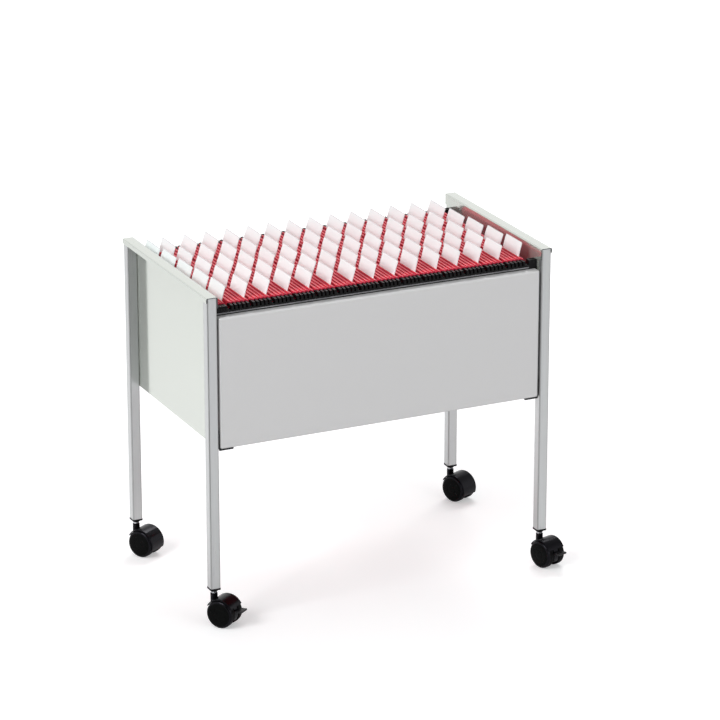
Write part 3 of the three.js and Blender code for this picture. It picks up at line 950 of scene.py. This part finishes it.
# one tab, upright on its root, with rounded upper corners and a slightly hollow sleeve
tab_pitch = 2 * (card_half - tab_margin) / files_in_bundle
tab_width = tab_pitch - tab_gap
tab_length = (tab_rise + tab_root) / math.cos(tab_lean) - tab_sheet * math.tan(tab_lean) / 2
bm = bmesh.new()
tab_half = tab_width / 2
corners = [bm.verts.new((0, y, z)) for y, z in (
    (tab_half, 0), (-tab_half, 0), (-tab_half, tab_length), (tab_half, tab_length))]
bm.faces.new(corners)
bmesh.ops.bevel(bm, geom=corners[2:], offset=tab_round, offset_type="OFFSET", segments=4,
                profile=0.5, affect="VERTICES", material=-1, clamp_overlap=True)
bm.normal_update()
bmesh.ops.inset_region(bm, faces=bm.faces[:], thickness=tab_border, use_boundary=True,
                       use_even_offset=True)
max(bm.faces, key=lambda face: face.calc_area()).material_index = 1
for share in (0.25, 0.5, 0.75):
    slice_at(bm, (0, 0, tab_length * share), (0, 0, 1))
for vert in bm.verts:
    along = 2 * vert.co.z / tab_length - 1
    vert.co.x -= tab_sag * (1 - along * along)
bmesh.ops.recalc_face_normals(bm, faces=bm.faces[:])
bmesh.ops.solidify(bm, geom=bm.faces[:], thickness=tab_sheet)
bmesh.ops.recalc_face_normals(bm, faces=bm.faces[:])
tab_form = store_form(bm, "tab_form")

for number in range(1, bundles + 1):
    node = f"file_bundle_{number:02d}"
    pitch, half = (wall_pitch, wall_half) if number == 1 else (file_pitch, bundle_half)
    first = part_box(node)[0].x + half + (files_in_bundle - 1) / 2 * pitch
    cards, hooks, tabs = bmesh.new(), bmesh.new(), bmesh.new()
    for file in range(files_in_bundle):
        outer = file in (0, files_in_bundle - 1)
        slack = 0 if outer else chance.uniform(-file_slack, file_slack)
        bar = Matrix.Translation((first - file * pitch + slack, files_middle, bar_top))
        stamp(cards, card_forms[pitch], bar)
        rear_hook = Matrix.Translation((0, card_half, 0))
        stamp(hooks, hook_form, bar @ rear_hook)
        stamp(hooks, hook_form, bar @ Matrix.Rotation(math.pi, 4, "Z") @ rear_hook)
        step = (file - (files_in_bundle - 1) / 2) * tab_pitch
        slip = chance.uniform(-tab_slip, tab_slip)
        lean = (tab_lean if file else outer_lean) + chance.uniform(-lean_spread, 0)
        stamp(tabs, tab_form, bar @ Matrix.Translation((0, step + slip, -tab_root))
              @ Matrix.Rotation(lean, 4, "Y"))
    body = f"files_{number:02d}"
    make_piece(cards, f"file_cards_{number:02d}", [red_card], body, "file_red", node)
    make_piece(hooks, f"file_hooks_{number:02d}", [black_moulding], body, "block_black")
    make_piece(tabs, f"file_tabs_{number:02d}", [tab_sleeve_and_edge_shade, tab_paper], body, "file_red")

# Floor and light
# A wide pale floor under soft studio light: a large lamp on the left, one high at the back right,
# a weak one at the front right, and a white room all round.
floor_size = 60.0
floor_pale = (238, 238, 238)
floor_cool = (234, 234, 235)
floor_glow = 0.34
glow_near = 0.7
glow_far = 2.5
floor_mirrored = 0.2
room_light = (0.47, 0.47, 0.475, 1)
room_white = (1, 1, 1, 1)
room_overhead = (0.3, 0.3, 0.31, 1)
flag_low = (-1.1, -0.62, 0.0)
flag_high = (-0.42, -0.60, 0.5)
flag_dark = (52, 50, 56)
flag_soft = (66, 64, 70)
lamp_aim = (0, 0, 0.3)

bm = bmesh.new()
bmesh.ops.create_grid(bm, x_segments=1, y_segments=1, size=floor_size / 2)
floor_mesh = bpy.data.meshes.new("studio_floor")
bm.to_mesh(floor_mesh)
bm.free()
floor = bpy.data.objects.new("studio_floor", floor_mesh)
bpy.context.scene.collection.objects.link(floor)
floor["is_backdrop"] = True


def seen_rays(shade):
    """1 for rays from the eye, also by way of gloss or glass, and 0 for those that carry light."""
    seen = shade.add("ShaderNodeLightPath", output="Is Camera Ray")
    for ray in ("Is Glossy Ray", "Is Transmission Ray"):
        seen = shade.math("MAXIMUM", seen, shade.add("ShaderNodeLightPath", output=ray))
    return seen


def far_off(shade, near, far):
    """0 up to a distance from the cart along the floor, and 1 from a greater one on."""
    away = shade.add("ShaderNodeVectorMath", {"operation": "LENGTH"}, {0: shade.place()},
                     "Value")
    return away.rise(near, far)


floor_white, shade = new_finish("floor_white", {"Roughness": 0.6, "Emission Strength": 1.0,
                                                "Specular IOR Level": 0.1})
shade.feed("Base Color", shade.noise(3, 3, 3, 2).tint(colour(*floor_pale), colour(*floor_cool)))
eye = shade.add("ShaderNodeLightPath", output="Is Camera Ray")
behind = shade.add("ShaderNodeSeparateXYZ", None, {0: shade.place()}, 1).rise(-0.6, 0.6)
to_the_eye = eye * (floor_glow + floor_glow * far_off(shade, glow_near, glow_far))
to_the_gloss = (1 - eye) * seen_rays(shade) * behind * floor_mirrored
shade.feed("Emission Color", (to_the_eye + to_the_gloss).tint((0, 0, 0, 1), (1, 1, 1, 1)))
floor_mesh.materials.append(floor_white)

room = bpy.data.worlds.new("studio_room")
bpy.context.scene.world = room
room.use_nodes = True
shade = Shade(room.node_tree)
ray = shade.add("ShaderNodeTexCoord", output="Generated")
overhead = shade.add("ShaderNodeSeparateXYZ", None, {0: ray}, 2).rise(0.35, 0.8)
seen_room = overhead.tint(room_white, room_overhead)
shade.feed("Color", seen_rays(shade).tint(room_light, seen_room), "Background")

# a dark flag at the front left, which only the gloss of the metal shows
bm = bmesh.new()
add_block(bm, flag_low, flag_high)
flag_mesh = bpy.data.meshes.new("studio_flag")
bm.to_mesh(flag_mesh)
bm.free()
flag_cloth, shade = new_finish("flag_cloth", {"Specular IOR Level": 0.0})
woven = shade.noise(300, 300, 300, 2)
shade.feed("Base Color", woven.tint(colour(*flag_dark), colour(*flag_soft)))
flag_mesh.materials.append(flag_cloth)
flag = bpy.data.objects.new("studio_flag", flag_mesh)
flag.visible_camera = flag.visible_diffuse = flag.visible_shadow = False
bpy.context.scene.collection.objects.link(flag)
flag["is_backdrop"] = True


def add_lamp(name, place, size, power):
    """A soft lamp that is aimed at the cart's middle."""
    lamp = bpy.data.lights.new(name, "AREA")
    lamp.size = size
    lamp.energy = power
    holder = bpy.data.objects.new(name, lamp)
    holder.location = place
    aim = Vector(lamp_aim) - Vector(place)
    holder.rotation_euler = aim.to_track_quat("-Z", "Y").to_euler()
    bpy.context.scene.collection.objects.link(holder)


add_lamp("key_lamp", (-3.4, -1.2, 2.6), 1.8, 95)
add_lamp("back_lamp", (1.3, 1.7, 2.9), 1.4, 42)
add_lamp("fill_lamp", (1.6, -3.4, 1.8), 2.4, 26)

# Camera
# A long lens a little to the left of the front and above it, as the cart was photographed.
camera_place = Vector((-2.59785, -5.51153, 2.52649))
camera_turn = math.radians(-25.45)
camera_lift = math.radians(19.41)
lens = bpy.data.cameras.new("long_lens")
lens.sensor_width = 36.0
lens.lens = 184.4
camera = bpy.data.objects.new("camera", lens)
back = Vector((math.sin(camera_turn) * math.cos(camera_lift),
               -math.cos(camera_turn) * math.cos(camera_lift), math.sin(camera_lift)))
camera.location = camera_place
camera.rotation_euler = (-back).to_track_quat("-Z", "Y").to_euler()
bpy.context.scene.collection.objects.link(camera)
bpy.context.scene.camera = camera
bpy.context.scene.view_settings.view_transform = "Standard"

low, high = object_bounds()
